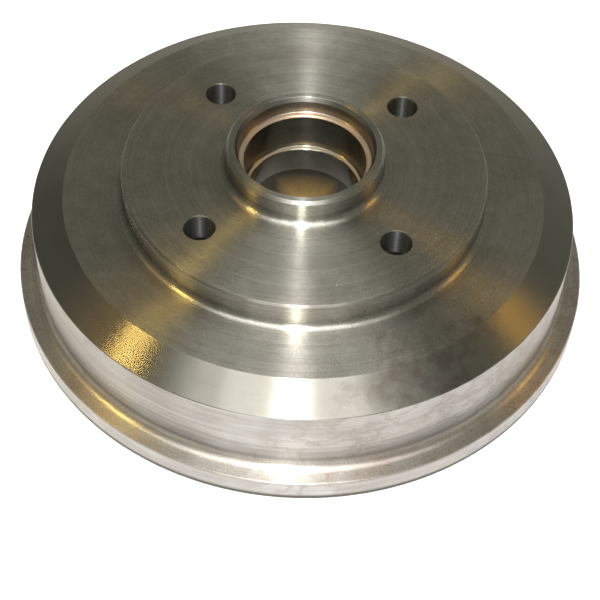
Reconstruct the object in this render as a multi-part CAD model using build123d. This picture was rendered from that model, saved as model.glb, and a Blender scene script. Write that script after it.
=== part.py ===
from build123d import *
from math import radians, tan
import os

# Rear brake drum of a small car: one iron casting that is drum, wheel disc and wheel hub in one,
# turned inside and out. Millimetres. The axle is the Z axis, the open mouth of the drum stands on
# z = 0, and the road wheel goes on from above. Heights are measured up from the mouth.

# Drum: the ring whose inside the brake shoes press against.
friction_dia = 203.2
friction_corner_radius = 3.0
shoe_space_depth = 41.0
mouth_lead_in = 1.5
drum_wall = 9.7

# Stiffening flange round the mouth, grooved underneath for the lip of the backing plate.
flange_overhang = 8.2
flange_thickness = 10.7
flange_root_radius = 3.5
flange_edge_break = 0.4
flange_foot_radius = 1.2
lip_groove_inset = 6.4
lip_groove_width = 4.0
lip_groove_depth = 5.0
lip_groove_corner_radius = 0.8

# Shoulder: a cone that climbs from the corner of the drum to a flat ring.
shoulder_thickness = 7.85
shoulder_cone_width = 13.15
shoulder_cone_rise = 7.35
drum_corner_break = 0.3

# Wheel face: the raised disc that the road wheel is clamped to, hollowed from below.
wheel_face_dia = 147.7
wheel_face_rise = 11.55
wheel_face_chamfer = 0.8
wheel_face_root_radius = 2.6
wheel_disc_thickness = 12.5
disc_rim_wall = 7.8
disc_pocket_taper = 3.0
disc_pocket_radius = 3.0

# Holes for the wheel studs.
bolt_circle_dia = 108.0
bolt_count = 4
bolt_first_angle = 45.0
bolt_hole_dia = 12.4
bolt_hole_edge_break = 0.3

# Hub nose: the spigot that centres the wheel, bored for the grease cap.
spigot_dia = 63.4
spigot_rise = 11.0
spigot_chamfer = 1.2
spigot_root_radius = 3.0
cap_seat_dia = 54.3
cap_seat_depth = 7.4
cap_lead_in_width = 1.1
cap_lead_in_height = 1.9

# Bearing seats: the outer race sits above the land between them, the inner race below it.
outer_race_dia = 49.3
outer_race_seat_length = 16.9
outer_race_lead_in = 0.7
race_land_dia = 44.9
race_land_length = 12.1
race_land_edge_break = 0.4
inner_race_dia = 59.1
inner_race_lead_in = 1.0

# Hub barrel: the tube round the inner race, tapered for casting. It stops short of the mouth.
barrel_inset = 6.7
barrel_wall = 7.0
barrel_draft_angle = 2.0
barrel_root_radius = 6.0
barrel_end_break = 1.0

# Radii worked out from the sizes above.
friction_radius = friction_dia / 2
drum_radius = friction_radius + drum_wall
flange_radius = drum_radius + flange_overhang
shoulder_radius = drum_radius - shoulder_cone_width
wheel_face_radius = wheel_face_dia / 2
disc_pocket_outer = wheel_face_radius - disc_rim_wall
spigot_radius = spigot_dia / 2
barrel_radius = inner_race_dia / 2 + barrel_wall

# Heights worked out from the sizes above.
shoulder_height = shoe_space_depth + shoulder_thickness
drum_corner_height = shoulder_height - shoulder_cone_rise
wheel_face_height = shoulder_height + wheel_face_rise
disc_underside = wheel_face_height - wheel_disc_thickness
nose_height = wheel_face_height + spigot_rise
cap_seat_floor = nose_height - cap_seat_depth
outer_race_floor = cap_seat_floor - outer_race_seat_length
inner_race_floor = outer_race_floor - race_land_length

# Cuts reach this far past the face that they open.
overrun = 5.0


def half_section(*corners):
    """A closed outline from (radius, height, rounding) corners, in the plane through the axle."""
    points = [(radius, height) for radius, height, rounding in corners]
    roundings = [rounding for radius, height, rounding in corners]
    return Plane.XZ * make_face(FilletPolyline(*points, radius=roundings, close=True))


def turned(outline):
    """The solid that an outline sweeps round the axle."""
    return revolve(outline, axis=Axis.Z)


def outside():
    """Everything inside the outer skin, from the flange up to the hub nose."""
    return turned(
        half_section(
            (0, 0, 0),
            (flange_radius, 0, flange_foot_radius),
            (flange_radius, flange_thickness - flange_edge_break, 0),
            (flange_radius - flange_edge_break, flange_thickness, 0),
            (drum_radius, flange_thickness, flange_root_radius),
            (drum_radius, drum_corner_height - drum_corner_break, 0),
            (drum_radius - drum_corner_break, drum_corner_height, 0),
            (shoulder_radius, shoulder_height, 0),
            (wheel_face_radius, shoulder_height, wheel_face_root_radius),
            (wheel_face_radius, wheel_face_height - wheel_face_chamfer, 0),
            (wheel_face_radius - wheel_face_chamfer, wheel_face_height, 0),
            (spigot_radius, wheel_face_height, spigot_root_radius),
            (spigot_radius, nose_height - spigot_chamfer, 0),
            (spigot_radius - spigot_chamfer, nose_height, 0),
            (0, nose_height, 0),
        )
    )


def shoe_space():
    """The room for the shoes, open at the mouth, with the hub barrel left standing in it."""
    barrel_taper = (disc_underside - barrel_inset) * tan(radians(barrel_draft_angle))
    return turned(
        half_section(
            (0, -overrun, 0),
            (friction_radius + mouth_lead_in, -overrun, 0),
            (friction_radius + mouth_lead_in, 0, 0),
            (friction_radius, mouth_lead_in, 0),
            (friction_radius, shoe_space_depth, friction_corner_radius),
            (disc_pocket_outer, shoe_space_depth, disc_pocket_radius),
            (disc_pocket_outer - disc_pocket_taper, disc_underside, disc_pocket_radius),
            (barrel_radius + barrel_taper, disc_underside, barrel_root_radius),
            (barrel_radius, barrel_inset, barrel_end_break),
            (0, barrel_inset, 0),
        )
    )


def stepped_bore():
    """The bore through the hub: cap seat, outer race seat, land and inner race seat."""
    cap_seat = cap_seat_dia / 2
    outer_race = outer_race_dia / 2
    land = race_land_dia / 2
    inner_race = inner_race_dia / 2
    return turned(
        half_section(
            (0, nose_height + overrun, 0),
            (cap_seat + cap_lead_in_width, nose_height + overrun, 0),
            (cap_seat + cap_lead_in_width, nose_height, 0),
            (cap_seat, nose_height - cap_lead_in_height, 0),
            (cap_seat, cap_seat_floor, 0),
            (outer_race + outer_race_lead_in, cap_seat_floor, 0),
            (outer_race, cap_seat_floor - outer_race_lead_in, 0),
            (outer_race, outer_race_floor, 0),
            (land + race_land_edge_break, outer_race_floor, 0),
            (land, outer_race_floor - race_land_edge_break, 0),
            (land, inner_race_floor + race_land_edge_break, 0),
            (land + race_land_edge_break, inner_race_floor, 0),
            (inner_race, inner_race_floor, 0),
            (inner_race, barrel_inset + inner_race_lead_in, 0),
            (inner_race + inner_race_lead_in, barrel_inset, 0),
            (inner_race + inner_race_lead_in, barrel_inset - overrun, 0),
            (0, barrel_inset - overrun, 0),
        )
    )


def lip_groove():
    """The groove in the underside of the flange that the lip of the backing plate runs in."""
    inner = friction_radius + lip_groove_inset
    outer = inner + lip_groove_width
    return turned(
        half_section(
            (inner, -overrun, 0),
            (outer, -overrun, 0),
            (outer, lip_groove_depth, lip_groove_corner_radius),
            (inner, lip_groove_depth, lip_groove_corner_radius),
        )
    )


def stud_holes():
    """The plain holes for the wheel studs, their edges broken at the wheel face."""
    hole = Cylinder(
        bolt_hole_dia / 2,
        wheel_disc_thickness + 2 * overrun,
        align=(Align.CENTER, Align.CENTER, Align.MIN),
    )
    edge_break = Cone(
        bolt_hole_dia / 2,
        bolt_hole_dia / 2 + bolt_hole_edge_break,
        bolt_hole_edge_break,
        align=(Align.CENTER, Align.CENTER, Align.MAX),
    )
    drill = Pos(0, 0, disc_underside - overrun) * hole + Pos(0, 0, wheel_face_height) * edge_break
    spots = PolarLocations(bolt_circle_dia / 2, bolt_count, bolt_first_angle)
    return [spot * drill for spot in spots]


def brake_drum():
    """The whole casting, as one solid."""
    casting = outside() - shoe_space() - stepped_bore() - lip_groove() - stud_holes()
    casting.label = "brake_drum"
    return casting


os.makedirs("parts", exist_ok=True)
export_step(brake_drum(), "parts/brake_drum.step")
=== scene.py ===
import math

import bmesh
import bpy
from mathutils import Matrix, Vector


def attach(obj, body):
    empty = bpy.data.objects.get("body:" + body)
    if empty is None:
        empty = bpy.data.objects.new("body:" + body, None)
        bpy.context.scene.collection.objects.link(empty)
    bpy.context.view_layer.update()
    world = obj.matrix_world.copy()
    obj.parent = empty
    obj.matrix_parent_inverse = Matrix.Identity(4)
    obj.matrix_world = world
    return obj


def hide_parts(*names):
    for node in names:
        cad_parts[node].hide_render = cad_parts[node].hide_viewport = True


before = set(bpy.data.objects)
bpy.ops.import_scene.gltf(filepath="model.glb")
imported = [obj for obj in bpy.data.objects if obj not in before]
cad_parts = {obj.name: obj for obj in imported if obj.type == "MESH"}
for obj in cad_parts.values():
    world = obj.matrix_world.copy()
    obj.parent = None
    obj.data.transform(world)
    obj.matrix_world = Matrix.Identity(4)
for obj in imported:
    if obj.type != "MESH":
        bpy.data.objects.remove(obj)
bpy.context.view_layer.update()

# The casting. A rear brake drum with its wheel disc and hub in one piece of grey iron, sand cast
# and then turned inside and out. Its half section is drawn corner by corner, in millimetres, and a
# node tree carries that outline round the axle as the lathe does.
MM = 0.001
FRICTION = 203.2 / 2
DRUM = FRICTION + 9.7
FLANGE = DRUM + 8.2
FLANGE_TOP = 10.7
GROOVE_INSIDE = FRICTION + 6.4
GROOVE_OUTSIDE = GROOVE_INSIDE + 4.0
GROOVE_FLOOR = 5.0
CEILING = 41.0
DRUM_CORNER = 41.5
SHOULDER_EDGE = DRUM - 13.15
SHOULDER = 48.85
WHEEL_FACE_EDGE = 147.7 / 2
WHEEL_FACE = SHOULDER + 11.55
DISC_UNDERSIDE = WHEEL_FACE - 12.5
POCKET = WHEEL_FACE_EDGE - 7.8
SPIGOT = 63.4 / 2
NOSE = WHEEL_FACE + 11.0
CAP_SEAT = 54.3 / 2
CAP_FLOOR = NOSE - 7.4
OUTER_RACE = 49.3 / 2
OUTER_FLOOR = CAP_FLOOR - 16.9
LAND = 44.9 / 2
INNER_FLOOR = OUTER_FLOOR - 12.1
INNER_RACE = 59.1 / 2
BARREL = INNER_RACE + 7.0
BARREL_END = 6.7
BARREL_TAPER = (DISC_UNDERSIDE - BARREL_END) * math.tan(math.radians(2.0))
STUD_HOLES = 4
FIRST_HOLE_ANGLE = math.radians(45)
BOLT_CIRCLE = 108.0 / 2
STUD_HOLE = 12.4 / 2
STUD_HOLE_BREAK = 0.3
DRILL_DEPTH = 16.0
STEPS_ROUND = 360

# Which tool or mould left each run of the outline as it is. Some finishes also carry painted light
# in their colour: painted shadow along the bottom edge, a painted warm reflection on the cap seat
# and ledges, painted shade on the race seats, and a painted reflection with painted shade in the
# lower bore.
FINISHES = (
    "Turned", "Bevel", "Edge", "Flange", "Wall", "Foot", "Cap Seat", "Ledge", "Race Seat",
    "Lower Bore", "Shoe Face", "Skin", "Drilled",
)
(
    TURNED, BEVEL, EDGE, FLANGED, WALL, FOOT, CAP, LEDGE, RACE, BORE, SHOE, SKIN, DRILLED,
) = range(len(FINISHES))

# Radius, height, rounding, and the finish of the run from this corner to the next.
SECTION = [
    (FRICTION + 1.5, 0, 0, FOOT),
    (GROOVE_INSIDE, 0, 0, FOOT),
    (GROOVE_INSIDE, GROOVE_FLOOR, 0.8, FOOT),
    (GROOVE_OUTSIDE, GROOVE_FLOOR, 0.8, FOOT),
    (GROOVE_OUTSIDE, 0, 0, FOOT),
    (FLANGE, 0, 1.2, WALL),
    (FLANGE, FLANGE_TOP - 0.4, 0, FLANGED),
    (FLANGE - 0.4, FLANGE_TOP, 0, FLANGED),
    (DRUM, FLANGE_TOP, 3.5, WALL),
    (DRUM, DRUM_CORNER - 0.3, 0, EDGE),
    (DRUM - 0.3, DRUM_CORNER, 0, BEVEL),
    (SHOULDER_EDGE, SHOULDER, 0, TURNED),
    (WHEEL_FACE_EDGE, SHOULDER, 2.6, TURNED),
    (WHEEL_FACE_EDGE, WHEEL_FACE - 0.8, 0, BEVEL),
    (WHEEL_FACE_EDGE - 0.8, WHEEL_FACE, 0, TURNED),
    (SPIGOT, WHEEL_FACE, 3.0, TURNED),
    (SPIGOT, NOSE - 1.2, 0, EDGE),
    (SPIGOT - 1.2, NOSE, 0, TURNED),
    (CAP_SEAT + 1.1, NOSE, 0, EDGE),
    (CAP_SEAT, NOSE - 1.9, 0, CAP),
    (CAP_SEAT, CAP_FLOOR, 0.6, LEDGE),
    (OUTER_RACE + 0.7, CAP_FLOOR, 0, LEDGE),
    (OUTER_RACE, CAP_FLOOR - 0.7, 0, RACE),
    (OUTER_RACE, OUTER_FLOOR, 0.6, LEDGE),
    (LAND + 0.4, OUTER_FLOOR, 0, RACE),
    (LAND, OUTER_FLOOR - 0.4, 0, RACE),
    (LAND, INNER_FLOOR + 0.4, 0, RACE),
    (LAND + 0.4, INNER_FLOOR, 0, BORE),
    (INNER_RACE, INNER_FLOOR, 0, BORE),
    (INNER_RACE, BARREL_END + 1.0, 0, TURNED),
    (INNER_RACE + 1.0, BARREL_END, 0, TURNED),
    (BARREL, BARREL_END, 1.0, SKIN),
    (BARREL + BARREL_TAPER, DISC_UNDERSIDE, 6.0, SKIN),
    (POCKET - 3.0, DISC_UNDERSIDE, 3.0, SKIN),
    (POCKET, CEILING, 3.0, SKIN),
    (FRICTION, CEILING, 3.0, SHOE),
    (FRICTION, 1.5, 0, SHOE),
]


def rounded_outline(section, burr=0.15, hold=0.15, step=math.radians(18)):
    """The closed outline as (radius, height, finish) points. Each sharp corner keeps a hair's
    rounding, and each straight run is pinned close to both its ends so that it shades flat."""
    points = []
    count = len(section)
    for i, (r, z, rounding, finish) in enumerate(section):
        corner = Vector((r, z))
        before = Vector(section[i - 1][:2]) - corner
        after = Vector(section[(i + 1) % count][:2]) - corner
        turn = math.pi - before.angle(after)
        radius = rounding or min(burr, 0.2 * before.length, 0.2 * after.length)
        reach = radius * math.tan(turn / 2)
        start = corner + before.normalized() * reach
        end = corner + after.normalized() * reach
        middle = corner + (before.normalized() + after.normalized()).normalized() * (
            radius / math.cos(turn / 2)
        )
        steps = max(2, math.ceil(turn / (step if rounding else 2 * step)))
        last = section[i - 1][3]
        points.append((*(start + before.normalized() * hold), last))
        for k in range(steps + 1):
            t = k / steps
            away = (start - middle).normalized().slerp((end - middle).normalized(), t) * radius
            points.append((*(middle + away), last if k < steps else finish))
        points.append((*(end + after.normalized() * hold), finish))
    return points


def outline_mesh(name, points):
    """The outline as a mesh of bare points in the plane through the axle, in metres."""
    mesh = bpy.data.meshes.new(name)
    mesh.from_pydata([(r * MM, 0, z * MM) for r, z, finish in points], [], [])
    marks = mesh.attributes.new("finish", "INT", "POINT")
    marks.data.foreach_set("value", [finish for r, z, finish in points])
    return mesh


class Sheet:
    """A node tree being filled in: each call adds a node, wires what it is given and returns it."""

    def __init__(self, tree):
        self.tree = tree

    def add(self, kind, *wired, **settings):
        node = self.tree.nodes.new(kind)
        named = {}
        for key, value in settings.items():
            if hasattr(node, key) and key not in node.inputs:
                setattr(node, key, value)
            else:
                named[key] = value
        for slot, value in list(enumerate(wired)) + list(named.items()):
            socket = node.inputs[slot if isinstance(slot, int) else slot.replace("_", " ")]
            if isinstance(value, bpy.types.NodeSocket):
                self.tree.links.new(value, socket)
            elif isinstance(value, bpy.types.Node):
                self.tree.links.new(value.outputs[0], socket)
            else:
                socket.default_value = value
        return node

    def math(self, operation, *wired):
        return self.add("ShaderNodeMath", *wired, operation=operation).outputs[0]


def lathe_tree():
    """Carries the outline round the axle, drills the stud holes and sorts the faces by finish."""
    tree = bpy.data.node_groups.new("Turned and drilled casting", "GeometryNodeTree")
    face = tree.interface
    face.new_socket("Outline", in_out="INPUT", socket_type="NodeSocketGeometry")
    for name, kind in (
        ("Steps Round", "NodeSocketInt"),
        ("Stud Holes", "NodeSocketInt"),
        ("First Hole Angle", "NodeSocketFloat"),
        ("Bolt Circle Radius", "NodeSocketFloat"),
        ("Hole Radius", "NodeSocketFloat"),
        ("Edge Break", "NodeSocketFloat"),
        ("Face Height", "NodeSocketFloat"),
        ("Drill Depth", "NodeSocketFloat"),
        *((name, "NodeSocketMaterial") for name in FINISHES),
    ):
        face.new_socket(name, in_out="INPUT", socket_type=kind)
    face.new_socket("Casting", in_out="OUTPUT", socket_type="NodeSocketGeometry")

    sheet = Sheet(tree)
    given = sheet.add("NodeGroupInput").outputs
    steps = given["Steps Round"]
    count = sheet.add("GeometryNodeAttributeDomainSize", given["Outline"]).outputs["Point Count"]
    rows = sheet.math("ADD", count, 1.0)
    grid = sheet.add(
        "GeometryNodeMeshGrid",
        Vertices_X=sheet.math("ADD", steps, 1.0),
        Vertices_Y=rows,
    )
    index = sheet.add("GeometryNodeInputIndex").outputs[0]

    # Points: the column says how far round, the row says which point of the outline.
    column = sheet.math("FLOOR", sheet.math("DIVIDE", sheet.math("ADD", index, 0.5), rows))
    row = sheet.math("SUBTRACT", index, sheet.math("MULTIPLY", column, rows))
    around = sheet.math("FLOORED_MODULO", column, steps)
    angle = sheet.math("DIVIDE", sheet.math("MULTIPLY", around, math.tau), steps)
    sampled = sheet.add("GeometryNodeSampleIndex", data_type="FLOAT_VECTOR", domain="POINT")
    tree.links.new(given["Outline"], sampled.inputs["Geometry"])
    tree.links.new(sheet.add("GeometryNodeInputPosition").outputs[0], sampled.inputs["Value"])
    tree.links.new(sheet.math("FLOORED_MODULO", row, count), sampled.inputs["Index"])
    place = sheet.add("ShaderNodeSeparateXYZ", sampled).outputs
    spun = sheet.add(
        "ShaderNodeCombineXYZ",
        sheet.math("MULTIPLY", place["X"], sheet.math("COSINE", angle)),
        sheet.math("MULTIPLY", place["X"], sheet.math("SINE", angle)),
        place["Z"],
    )
    swept = sheet.add("GeometryNodeSetPosition", grid.outputs["Mesh"], Position=spun)

    # Faces: one row of faces per run of the outline.
    face_column = sheet.math("FLOOR", sheet.math("DIVIDE", sheet.math("ADD", index, 0.5), count))
    face_row = sheet.math("SUBTRACT", index, sheet.math("MULTIPLY", face_column, count))
    finish = sheet.add("GeometryNodeSampleIndex", data_type="INT", domain="POINT")
    tree.links.new(given["Outline"], finish.inputs["Geometry"])
    mark = sheet.add("GeometryNodeInputNamedAttribute", "finish", data_type="INT")
    tree.links.new(mark.outputs["Attribute"], finish.inputs["Value"])
    tree.links.new(face_row, finish.inputs["Index"])
    marked = sheet.add(
        "GeometryNodeStoreNamedAttribute",
        swept,
        Name="finish",
        Value=finish,
        data_type="INT",
        domain="FACE",
    )
    closed = sheet.add("GeometryNodeMergeByDistance", marked, Distance=1e-7)

    # The drill: a plain cylinder that stands a little proud of the face, and a cone that breaks
    # the edge of each hole.
    proud = 0.001
    hole_sides = 96
    drill = sheet.add(
        "GeometryNodeMeshCylinder",
        Vertices=hole_sides,
        Radius=given["Hole Radius"],
        Depth=given["Drill Depth"],
    )
    half = sheet.math("DIVIDE", given["Drill Depth"], 2.0)
    cutting = sheet.add(
        "GeometryNodeStoreNamedAttribute",
        drill.outputs["Mesh"],
        Name="finish",
        Value=DRILLED,
        data_type="INT",
        domain="FACE",
    )
    lowered = sheet.add(
        "GeometryNodeTransform",
        cutting,
        Translation=sheet.add(
            "ShaderNodeCombineXYZ",
            given["Bolt Circle Radius"],
            0.0,
            sheet.math("ADD", sheet.math("SUBTRACT", given["Face Height"], half), proud),
        ),
    )
    flare_size = sheet.math("MULTIPLY", given["Edge Break"], 3.0)
    flare = sheet.add(
        "GeometryNodeMeshCone",
        Vertices=hole_sides,
        Radius_Bottom=given["Hole Radius"],
        Radius_Top=sheet.math("ADD", given["Hole Radius"], flare_size),
        Depth=flare_size,
    )
    breaking = sheet.add(
        "GeometryNodeStoreNamedAttribute",
        flare.outputs["Mesh"],
        Name="finish",
        Value=FOOT,
        data_type="INT",
        domain="FACE",
    )
    set_down = sheet.add(
        "GeometryNodeTransform",
        breaking,
        Translation=sheet.add(
            "ShaderNodeCombineXYZ",
            given["Bolt Circle Radius"],
            0.0,
            sheet.math("SUBTRACT", given["Face Height"], given["Edge Break"]),
        ),
    )

    def all_round(tool):
        """The tool at every stud hole, turned about the axle."""
        spots = sheet.add("GeometryNodePoints", Count=given["Stud Holes"])
        turn = sheet.math("DIVIDE", math.tau, given["Stud Holes"])
        heading = sheet.math(
            "ADD", sheet.math("MULTIPLY", index, turn), given["First Hole Angle"]
        )
        placed = sheet.add(
            "GeometryNodeInstanceOnPoints",
            spots.outputs[0],
            Instance=tool,
            Rotation=sheet.add("ShaderNodeCombineXYZ", 0.0, 0.0, heading),
        )
        return sheet.add("GeometryNodeRealizeInstances", placed)

    drilled = sheet.add("GeometryNodeMeshBoolean", operation="DIFFERENCE", solver="EXACT")
    tree.links.new(closed.outputs[0], drilled.inputs["Mesh 1"])
    tree.links.new(all_round(lowered).outputs[0], drilled.inputs["Mesh 2"])
    tree.links.new(all_round(set_down).outputs[0], drilled.inputs["Mesh 2"])

    smooth = sheet.add("GeometryNodeSetShadeSmooth", drilled.outputs["Mesh"], Shade_Smooth=True)
    bend = sheet.add("GeometryNodeInputMeshEdgeAngle").outputs["Unsigned Angle"]
    is_corner = sheet.math("GREATER_THAN", bend, math.radians(38))
    crisp = sheet.add("GeometryNodeSetShadeSmooth", smooth, domain="EDGE", Shade_Smooth=False)
    tree.links.new(is_corner, crisp.inputs["Selection"])
    result = sheet.add("GeometryNodeRealizeInstances", crisp)
    mark = sheet.add("GeometryNodeInputNamedAttribute", "finish", data_type="INT")
    for number, name in enumerate(FINISHES):
        result = sheet.add("GeometryNodeSetMaterial", result, Material=given[name])
        if number:
            same = sheet.math("COMPARE", mark.outputs["Attribute"], float(number), 0.1)
            tree.links.new(same, result.inputs["Selection"])
    sheet.add("NodeGroupOutput", result)
    return tree


# Finishes of the casting. Turning leaves fine rings round the axle on every machined face, and
# grey iron shows the grain of its graphite through them. The drum wall has been handled and
# stained, and what the lathe never reached keeps the dark skin of the mould.
def noise(sheet, at, scale, detail, rough, **more):
    """Random patches, from 0 to 1 in value. The scale says about how many lie in a metre."""
    return sheet.add(
        "ShaderNodeTexNoise", at, Scale=scale, Detail=detail, Roughness=rough, **more
    ).outputs[0]


def rings_group():
    """Rings round the axle: they follow radius and height, so they run true on any turned face."""
    tree = bpy.data.node_groups.new("Turning rings", "ShaderNodeTree")
    tree.interface.new_socket("Position", in_out="INPUT", socket_type="NodeSocketVector")
    pitch = tree.interface.new_socket("Pitch", in_out="INPUT", socket_type="NodeSocketFloat")
    pitch.default_value = 0.5
    for name in ("Radius", "Fine", "Broad"):
        tree.interface.new_socket(name, in_out="OUTPUT", socket_type="NodeSocketFloat")
    sheet = Sheet(tree)
    given = sheet.add("NodeGroupInput").outputs
    at = sheet.add("ShaderNodeSeparateXYZ", given["Position"]).outputs
    radius = sheet.math(
        "SQRT",
        sheet.math(
            "ADD",
            sheet.math("MULTIPLY", at["X"], at["X"]),
            sheet.math("MULTIPLY", at["Y"], at["Y"]),
        ),
    )
    profile = sheet.add("ShaderNodeCombineXYZ", radius, at["Z"], 0.0)
    per_pitch = sheet.math("DIVIDE", 1000.0, given["Pitch"])
    wider = sheet.math("MULTIPLY", per_pitch, 0.25)
    fine = noise(sheet, profile, per_pitch, detail=1.0, rough=0.5, noise_dimensions="2D")
    broad = noise(sheet, profile, wider, detail=2.0, rough=0.55, noise_dimensions="2D")
    sheet.add("NodeGroupOutput", radius, fine, broad)
    return tree


def grain_group():
    """The speckle of graphite and open pores in a cut face of grey iron."""
    tree = bpy.data.node_groups.new("Iron grain", "ShaderNodeTree")
    tree.interface.new_socket("Position", in_out="INPUT", socket_type="NodeSocketVector")
    size = tree.interface.new_socket("Size", in_out="INPUT", socket_type="NodeSocketFloat")
    size.default_value = 0.6
    for name in ("Speck", "Cloud"):
        tree.interface.new_socket(name, in_out="OUTPUT", socket_type="NodeSocketFloat")
    sheet = Sheet(tree)
    given = sheet.add("NodeGroupInput").outputs
    per_size = sheet.math("DIVIDE", 1000.0, given["Size"])
    speck = noise(sheet, given["Position"], per_size, detail=2.0, rough=0.65)
    cloud = noise(sheet, given["Position"], 130.0, detail=5.0, rough=0.65)
    sheet.add("NodeGroupOutput", speck, cloud)
    return tree


def finish_sheet(name, metallic, anisotropic=0.0):
    """A new finish: its sheet, its shader and the position on the casting."""
    material = bpy.data.materials.new(name)
    material.use_nodes = True
    sheet = Sheet(material.node_tree)
    shader = material.node_tree.nodes["Principled BSDF"]
    shader.inputs["Metallic"].default_value = metallic
    shader.inputs["Anisotropic"].default_value = anisotropic
    shader.inputs["Anisotropic Rotation"].default_value = 0.25
    if anisotropic:
        tangent = sheet.add("ShaderNodeTangent", direction_type="RADIAL", axis="Z")
        sheet.tree.links.new(tangent.outputs[0], shader.inputs["Tangent"])
    position = sheet.add("ShaderNodeTexCoord").outputs["Object"]
    return material, sheet, shader, position


def group(sheet, tree, **values):
    """A shared effect placed on a sheet, with this finish's own values."""
    return sheet.add("ShaderNodeGroup", node_tree=tree, **values).outputs


def ramp(sheet, value, low, high, to_low=0.0, to_high=1.0):
    """A value carried from one range to another, and held at both ends."""
    node = sheet.add("ShaderNodeMapRange")
    sheet.tree.links.new(value, node.inputs["Value"])
    for socket, number in zip(node.inputs[1:5], (low, high, to_low, to_high)):
        socket.default_value = number
    return node.outputs[0]


def mix(sheet, amount, first, second):
    """Two colours mixed: all of the second where the amount is 1."""
    node = sheet.add("ShaderNodeMix", data_type="RGBA")
    for slot, value in ((0, amount), (6, first), (7, second)):
        socket = node.inputs[slot]
        if isinstance(value, bpy.types.NodeSocket):
            sheet.tree.links.new(value, socket)
        elif isinstance(value, tuple):
            socket.default_value = (*value, 1)
        else:
            socket.default_value = value
    return node.outputs[2]


def marks_group():
    """What handling leaves on uncoated iron: soft tide lines round dried drops, smears wiped along
    round the axle, pin-head spots of rust, broad damp patches, and one ragged greasy smudge."""
    tree = bpy.data.node_groups.new("Handling marks", "ShaderNodeTree")
    tree.interface.new_socket("Position", in_out="INPUT", socket_type="NodeSocketVector")
    for name in ("Tide", "Smear", "Rust", "Damp", "Smudge"):
        tree.interface.new_socket(name, in_out="OUTPUT", socket_type="NodeSocketFloat")
    sheet = Sheet(tree)
    position = sheet.add("NodeGroupInput").outputs["Position"]
    where = noise(sheet, position, 15.0, detail=1.0, rough=0.5)
    flat = sheet.add("ShaderNodeVectorMath", position, (1.0, 1.0, 1.7), operation="MULTIPLY")
    drops = noise(sheet, flat, 58.0, detail=4.0, rough=0.62)
    smudge_middle = (0.055, -0.084, 0.044)
    away = sheet.add("ShaderNodeVectorMath", position, smudge_middle, operation="DISTANCE")
    ragged = sheet.math("ADD", away.outputs["Value"], sheet.math("MULTIPLY", drops, 0.090))
    smudge = ramp(sheet, ragged, 0.077, 0.057)
    line = sheet.math("ABSOLUTE", sheet.math("SUBTRACT", drops, 0.5))
    tide = sheet.math(
        "MULTIPLY",
        ramp(sheet, line, 0.0, 0.050, 1.0, 0.0),
        sheet.math("MAXIMUM", ramp(sheet, where, 0.44, 0.56), smudge),
    )
    along = sheet.add("ShaderNodeVectorMath", position, (26.0, 26.0, 520.0), operation="MULTIPLY")
    wiped = noise(sheet, along, 1.0, detail=4.0, rough=0.65)
    smear = sheet.math(
        "MULTIPLY", ramp(sheet, wiped, 0.46, 0.66), ramp(sheet, where, 0.56, 0.44)
    )
    spots = noise(sheet, position, 700.0, detail=2.0, rough=0.6)
    patch = noise(sheet, position, 21.0, detail=2.0, rough=0.5)
    rust = sheet.math("MULTIPLY", ramp(sheet, spots, 0.60, 0.68), ramp(sheet, patch, 0.52, 0.66))
    broad = noise(sheet, position, 24.0, detail=5.0, rough=0.62)
    damp = ramp(sheet, broad, 0.50, 0.66, 0.0, 0.6)
    sheet.add("NodeGroupOutput", tide, smear, rust, damp, smudge)
    return tree


def turned_finish(
    name, dark, light, rough, pitch, relief, anisotropic=1.0, metallic=1.0, spark=0.35
):
    """Iron as the lathe leaves it: rings round the axle, broken up by the open grain. The pitch is
    the millimetres from ring to ring, and the spark is how bright the cut graphite glints."""
    material, sheet, shader, position = finish_sheet(name, metallic, anisotropic)
    round_axle = group(sheet, rings, Position=position, Pitch=pitch)
    iron = group(sheet, grain, Position=position, Size=0.55)
    tone = sheet.math(
        "ADD",
        sheet.math("MULTIPLY", round_axle["Fine"], 0.15),
        sheet.math(
            "ADD",
            sheet.math("MULTIPLY", iron["Speck"], 0.55),
            sheet.math("MULTIPLY", iron["Cloud"], 0.30),
        ),
    )
    colour = mix(sheet, ramp(sheet, tone, 0.34, 0.66), dark, light)
    marked = group(sheet, marks, Position=position)
    greasy = sheet.math(
        "MULTIPLY", marked["Smudge"], ramp(sheet, iron["Cloud"], 0.36, 0.60, 0.0, 0.80)
    )
    worn = sheet.math(
        "ADD",
        sheet.math("MAXIMUM", sheet.math("MULTIPLY", marked["Damp"], 0.42), greasy),
        sheet.math("MULTIPLY", marked["Rust"], 0.25),
    )
    colour = mix(sheet, worn, colour, (dark[0] * 0.69, dark[1] * 0.60, dark[2] * 0.60))
    bright = ramp(sheet, iron["Speck"], 0.63, 0.73, 0.0, spark)
    colour = mix(sheet, bright, colour, tuple(min(1.0, 1.7 * c) for c in light))
    sheet.tree.links.new(colour, shader.inputs["Base Color"])
    roughness = sheet.math(
        "ADD",
        ramp(sheet, round_axle["Broad"], 0.3, 0.7, rough - 0.006, rough + 0.010),
        sheet.math("MULTIPLY", marked["Smudge"], 0.12),
    )
    sheet.tree.links.new(roughness, shader.inputs["Roughness"])
    bumps = sheet.add(
        "ShaderNodeBump", Strength=relief, Distance=0.00005, Height=round_axle["Fine"]
    )
    sheet.tree.links.new(bumps.outputs[0], shader.inputs["Normal"])
    return material, sheet, shader, position, colour


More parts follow.
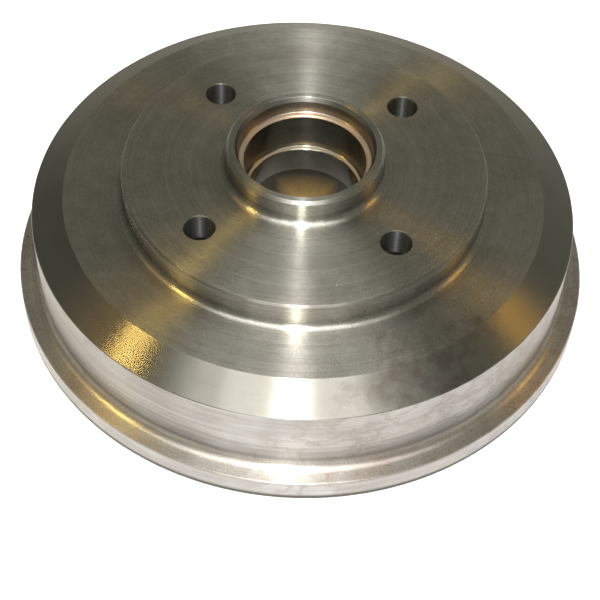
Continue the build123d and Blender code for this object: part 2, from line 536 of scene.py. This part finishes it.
rings = rings_group()
grain = grain_group()
marks = marks_group()
finish_of = {
    "Turned": turned_finish(
        "turned_iron",
        dark=(0.205, 0.200, 0.174),
        light=(0.360, 0.353, 0.313),
        rough=0.27,
        pitch=1.0,
        relief=0.12,
    )[0],
    "Bevel": turned_finish(
        "fine_turned",
        dark=(0.178, 0.175, 0.150),
        light=(0.206, 0.201, 0.173),
        rough=0.26,
        pitch=1.0,
        relief=0.04,
        spark=0.05,
    )[0],
    "Edge": turned_finish(
        "fresh_edge",
        dark=(0.170, 0.168, 0.145),
        light=(0.270, 0.266, 0.236),
        rough=0.32,
        pitch=0.8,
        relief=0.10,
        anisotropic=0.8,
    )[0],
    # The dark colour of this finish is painted shadow along the bottom edge, where the drum stands
    # on the floor.
    "Foot": turned_finish(
        "foot_shadow",
        dark=(0.060, 0.058, 0.045),
        light=(0.110, 0.105, 0.085),
        rough=0.50,
        pitch=0.8,
        relief=0.20,
        anisotropic=0.4,
        metallic=0.8,
    )[0],
    # The brown tint of the cap seat is a painted warm reflection.
    "Cap Seat": turned_finish(
        "cap_seat",
        dark=(0.235, 0.205, 0.165),
        light=(0.380, 0.335, 0.270),
        rough=0.28,
        pitch=0.8,
        relief=0.10,
        anisotropic=0.9,
    )[0],
    # The ledges face up inside the bore. Their orange colour is a painted warm reflection.
    "Ledge": turned_finish(
        "ledge",
        dark=(0.270, 0.205, 0.140),
        light=(0.400, 0.315, 0.220),
        rough=0.40,
        pitch=0.8,
        relief=0.10,
        anisotropic=0.4,
        metallic=0.7,
    )[0],
    # The race seats and the land between them take this dark colour as painted shade deep in the
    # bore.
    "Race Seat": turned_finish(
        "race_seat",
        dark=(0.125, 0.125, 0.100),
        light=(0.230, 0.230, 0.190),
        rough=0.20,
        pitch=0.8,
        relief=0.10,
    )[0],
    "Shoe Face": turned_finish(
        "shoe_face",
        dark=(0.260, 0.255, 0.240),
        light=(0.360, 0.350, 0.330),
        rough=0.38,
        pitch=0.8,
        relief=0.20,
        anisotropic=0.8,
    )[0],
    "Drilled": turned_finish(
        "drilled",
        dark=(0.140, 0.148, 0.138),
        light=(0.260, 0.268, 0.250),
        rough=0.30,
        pitch=0.8,
        relief=0.10,
        anisotropic=1.0,
        metallic=0.95,
    )[0],
}
# The fine turning of the cone gives little back at a grazing look.
fine_turned = finish_of["Bevel"].node_tree.nodes["Principled BSDF"]
fine_turned.inputs["Specular Tint"].default_value = (0.55, 0.55, 0.53, 1)


def lower_bore_finish():
    """The inner race seat: its golden colour is a painted reflection of the warm-lit ground below
    it, and painted shade darkens it towards the top and towards both sides.
    """
    material, sheet, shader, position, colour = turned_finish(
        "lower_bore",
        dark=(0.34, 0.22, 0.07),
        light=(0.66, 0.46, 0.16),
        rough=0.18,
        pitch=0.8,
        relief=0.1,
    )
    at = sheet.add("ShaderNodeSeparateXYZ", position).outputs
    # Painted shade: the golden colour turns dark towards the top of the bore and towards both
    # sides.
    bore_shade = sheet.math(
        "MAXIMUM",
        ramp(sheet, at["Z"], 0.005, 0.026),
        ramp(sheet, sheet.math("ABSOLUTE", at["X"]), 0.001, 0.014),
    )
    colour = mix(sheet, bore_shade, colour, (0.050, 0.045, 0.032))
    sheet.tree.links.new(colour, shader.inputs["Base Color"])
    return material


def flange_finish():
    """The top of the flange: turned as the faces are, then browned by thumbs and damp."""
    material, sheet, shader, position, colour = turned_finish(
        "flange_top",
        dark=(0.27, 0.255, 0.225),
        light=(0.46, 0.44, 0.395),
        rough=0.34,
        pitch=1.0,
        relief=0.1,
        anisotropic=0.9,
        metallic=0.94,
    )
    marked = group(sheet, marks, Position=position)
    for mark, share, stain in (
        ("Smear", 0.45, (0.25, 0.18, 0.13)),
        ("Tide", 0.30, (0.24, 0.17, 0.12)),
        ("Rust", 0.70, (0.20, 0.085, 0.060)),
    ):
        colour = mix(sheet, sheet.math("MULTIPLY", marked[mark], share), colour, stain)
    sheet.tree.links.new(colour, shader.inputs["Base Color"])
    return material


def wall_finish():
    """The drum wall and the rim of the flange: paler, duller iron, smeared along and stained."""
    material, sheet, shader, position = finish_sheet("handled_wall", metallic=0.85, anisotropic=0.9)
    round_axle = group(sheet, rings, Position=position, Pitch=1.6)
    iron = group(sheet, grain, Position=position, Size=0.6)
    smooth = noise(sheet, position, 38.0, detail=3.0, rough=0.55)
    tone = sheet.math(
        "ADD",
        sheet.math("MULTIPLY", smooth, 0.55),
        sheet.math(
            "ADD",
            sheet.math("MULTIPLY", iron["Speck"], 0.2),
            sheet.math("MULTIPLY", round_axle["Fine"], 0.25),
        ),
    )
    colour = mix(sheet, ramp(sheet, tone, 0.38, 0.62), (0.275, 0.272, 0.262), (0.41, 0.407, 0.394))
    marked = group(sheet, marks, Position=position)
    for mark, share, stain in (
        ("Tide", 0.50, (0.20, 0.170, 0.145)),
        ("Smear", 0.52, (0.215, 0.190, 0.165)),
        ("Damp", 0.22, (0.24, 0.20, 0.17)),
        ("Rust", 0.25, (0.26, 0.13, 0.09)),
    ):
        colour = mix(sheet, sheet.math("MULTIPLY", marked[mark], share), colour, stain)

    # Painted shade darkens both ends of the pale side. Low on the wall, above the root of the
    # flange, painted shade stands in for the dark flange seen in reflection, and a painted shadow
    # runs along the bottom edge where the drum stands on the floor.
    at = sheet.add("ShaderNodeSeparateXYZ", position).outputs
    height = at["Z"]
    left_shade = ramp(sheet, at["X"], -0.050, -0.100, 0.0, 0.42)
    right_shade = ramp(sheet, at["X"], 0.080, 0.108, 0.0, 0.30)
    off_flange = ramp(sheet, height, 0.011, 0.015)
    side_shade = sheet.math("MULTIPLY", sheet.math("MAXIMUM", left_shade, right_shade), off_flange)
    colour = mix(sheet, side_shade, colour, (0.150, 0.140, 0.122))
    # Painted shade low on the wall: a dark reflection of the flange.
    low_wall = ramp(sheet, height, 0.024, 0.0145, 0.0, 0.42)
    root_up = ramp(sheet, height, 0.0105, 0.0125)
    low_wall_shade = sheet.math("MULTIPLY", low_wall, root_up)
    # Painted shadow along the bottom edge, where the drum stands on the floor.
    foot_shadow = ramp(sheet, height, 0.0021, 0.0034, 1.0, 0.0)
    colour = mix(sheet, sheet.math("MAXIMUM", low_wall_shade, foot_shadow), colour, (0.075, 0.070, 0.052))
    sheet.tree.links.new(colour, shader.inputs["Base Color"])
    roughness = ramp(sheet, tone, 0.35, 0.7, 0.34, 0.42)
    sheet.tree.links.new(roughness, shader.inputs["Roughness"])
    bumps = sheet.add("ShaderNodeBump", Strength=0.3, Distance=0.00003, Height=iron["Speck"])
    sheet.tree.links.new(bumps.outputs[0], shader.inputs["Normal"])
    return material


def skin_finish():
    """The skin of the mould: dark, matt and sandy."""
    material, sheet, shader, position = finish_sheet("mould_skin", metallic=0.55)
    iron = group(sheet, grain, Position=position, Size=1.3)
    sand = noise(sheet, position, 420.0, detail=4.0, rough=0.6)
    cloudy = ramp(sheet, iron["Cloud"], 0.35, 0.65)
    colour = mix(sheet, cloudy, (0.060, 0.055, 0.050), (0.13, 0.115, 0.10))
    sheet.tree.links.new(colour, shader.inputs["Base Color"])
    roughness = ramp(sheet, iron["Speck"], 0.3, 0.7, 0.62, 0.78)
    sheet.tree.links.new(roughness, shader.inputs["Roughness"])
    bumps = sheet.add("ShaderNodeBump", Strength=0.8, Distance=0.0003, Height=sand)
    sheet.tree.links.new(bumps.outputs[0], shader.inputs["Normal"])
    return material


finish_of["Flange"] = flange_finish()
finish_of["Wall"] = wall_finish()
finish_of["Lower Bore"] = lower_bore_finish()
finish_of["Skin"] = skin_finish()

outline = outline_mesh("casting_outline", rounded_outline(SECTION))
casting = bpy.data.objects.new("casting", outline)
bpy.context.scene.collection.objects.link(casting)
lathe = casting.modifiers.new("lathe", "NODES")
lathe.node_group = lathe_tree()
sockets = {item.name: item.identifier for item in lathe.node_group.interface.items_tree}
for name, value in {
    "Steps Round": STEPS_ROUND,
    "Stud Holes": STUD_HOLES,
    "First Hole Angle": FIRST_HOLE_ANGLE,
    "Bolt Circle Radius": BOLT_CIRCLE * MM,
    "Hole Radius": STUD_HOLE * MM,
    "Edge Break": STUD_HOLE_BREAK * MM,
    "Face Height": WHEEL_FACE * MM,
    "Drill Depth": DRILL_DEPTH * MM,
    **finish_of,
}.items():
    lathe[sockets[name]] = value
finished = casting.evaluated_get(bpy.context.evaluated_depsgraph_get())
turned_mesh = bpy.data.meshes.new_from_object(finished)
casting.modifiers.remove(lathe)
casting.data = turned_mesh
shell = bmesh.new()
shell.from_mesh(turned_mesh)
if shell.calc_volume(signed=True) < 0:
    bmesh.ops.reverse_faces(shell, faces=shell.faces)
shell.to_mesh(turned_mesh)
shell.free()
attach(casting, "root")
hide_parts("brake_drum")

# The studio. A pale floor, and a pale surround that darkens overhead and to the left. Soft panels
# hang over and in front of the drum, and three small warm ones put the gold on its cone. The floor
# is bright only outside the drum, so that no light comes up through the stud holes.
floor_mesh = bpy.data.meshes.new("floor")
floor_mesh.from_pydata([(-4, -4, 0), (4, -4, 0), (4, 4, 0), (-4, 4, 0)], [], [(0, 1, 2, 3)])
floor = bpy.data.objects.new("floor", floor_mesh)
bpy.context.scene.collection.objects.link(floor)
floor.location.z = -0.0002
pale = bpy.data.materials.new("pale_floor")
pale.use_nodes = True
ground = Sheet(pale.node_tree)
floor_shader = pale.node_tree.nodes["Principled BSDF"]
floor_shader.inputs["Base Color"].default_value = (0.93, 0.93, 0.93, 1)
floor_shader.inputs["Roughness"].default_value = 1.0
floor_shader.inputs["Emission Color"].default_value = (1, 1, 1, 1)
seen = ground.add("ShaderNodeLightPath").outputs
mirrored = ground.math("MAXIMUM", seen["Is Glossy Ray"], seen["Is Transmission Ray"])
looked_at = ground.math("MAXIMUM", seen["Is Camera Ray"], mirrored)
spot = ground.add("ShaderNodeTexCoord").outputs["Object"]
reach = ground.add("ShaderNodeVectorMath", spot, operation="LENGTH")
open_floor = ramp(ground, reach.outputs["Value"], 0.100, 0.112, 0.0, 0.2)
glow = ground.math("MULTIPLY", looked_at, open_floor)
ground.tree.links.new(glow, floor_shader.inputs["Emission Strength"])
floor_mesh.materials.append(pale)

world = bpy.data.worlds.new("surround")
world.use_nodes = True
bpy.context.scene.world = world
sky = Sheet(world.node_tree)
heading = sky.add("ShaderNodeSeparateXYZ", sky.add("ShaderNodeTexCoord").outputs["Generated"])
band = ramp(sky, heading.outputs["Z"], 0.06, 0.34)
above = sky.math(
    "MULTIPLY",
    ramp(sky, heading.outputs["Z"], 0.45, 0.75, 0.25, 0.39),
    ramp(sky, heading.outputs["X"], -0.9, 0.1, 0.65, 1.0),
)
upper = sky.add(
    "ShaderNodeCombineXYZ",
    above,
    sky.math("MULTIPLY", above, 0.985),
    sky.math("MULTIPLY", above, 0.82),
)
level = sky.math("MULTIPLY", 0.5, ramp(sky, heading.outputs["X"], -0.8, -0.2, 0.35, 1.0))
horizon = sky.add("ShaderNodeCombineXYZ", level, level, sky.math("MULTIPLY", level, 0.96))
tone = mix(sky, band, horizon.outputs[0], upper.outputs[0])
world.node_tree.links.new(tone, world.node_tree.nodes["Background"].inputs["Color"])


drum_middle = Vector((0, 0, 0.04))


def lamp(name, azimuth, elevation, distance, width, length, power, colour):
    """A soft panel that faces the casting, in degrees, metres and watts."""
    light = bpy.data.lights.new(name, "AREA")
    light.shape = "RECTANGLE"
    light.size = width
    light.size_y = length
    light.energy = power
    light.color = colour
    panel = bpy.data.objects.new(name, light)
    bpy.context.scene.collection.objects.link(panel)
    a, e = math.radians(azimuth), math.radians(elevation)
    away = Vector((math.cos(e) * math.cos(a), math.cos(e) * math.sin(a), math.sin(e)))
    panel.location = away * distance + drum_middle
    panel.rotation_euler = away.to_track_quat("Z", "Y").to_euler()


WHITE = (1.0, 0.98, 0.99)
lamp("overhead", 271, 78, 1.6, 1.50, 1.00, 20, WHITE)
lamp("strip", 271, 62, 1.5, 0.05, 1.50, 10, WHITE)
lamp("front", 272, 50, 1.5, 1.10, 0.45, 9, WHITE)
lamp("front_middle", 271, 50, 1.5, 0.16, 0.45, 6, WHITE)
lamp("cone_glow", 271, 74, 1.5, 0.14, 0.16, 2.2, WHITE)
lamp("warm_left", 183, 57, 1.5, 0.10, 0.22, 4.5, (1.0, 0.70, 0.20))
lamp("warm_haze", 164, 54, 1.5, 0.45, 0.30, 0.7, (1.0, 0.58, 0.18))
lamp("warm_right", 21, 46, 1.5, 0.36, 0.22, 1.6, (1.0, 0.50, 0.04))

camera_data = bpy.data.cameras.new("camera")
camera_data.lens = 85.863
camera_data.sensor_width = 36
camera_data.clip_start = 0.01
camera = bpy.data.objects.new("camera", camera_data)
bpy.context.scene.collection.objects.link(camera)
camera.location = (0.01715, -0.40749, 0.47166)
camera.rotation_euler = (0.686576, -0.028222, 0.075323)
bpy.context.scene.camera = camera
bpy.context.scene.view_settings.view_transform = "Standard"
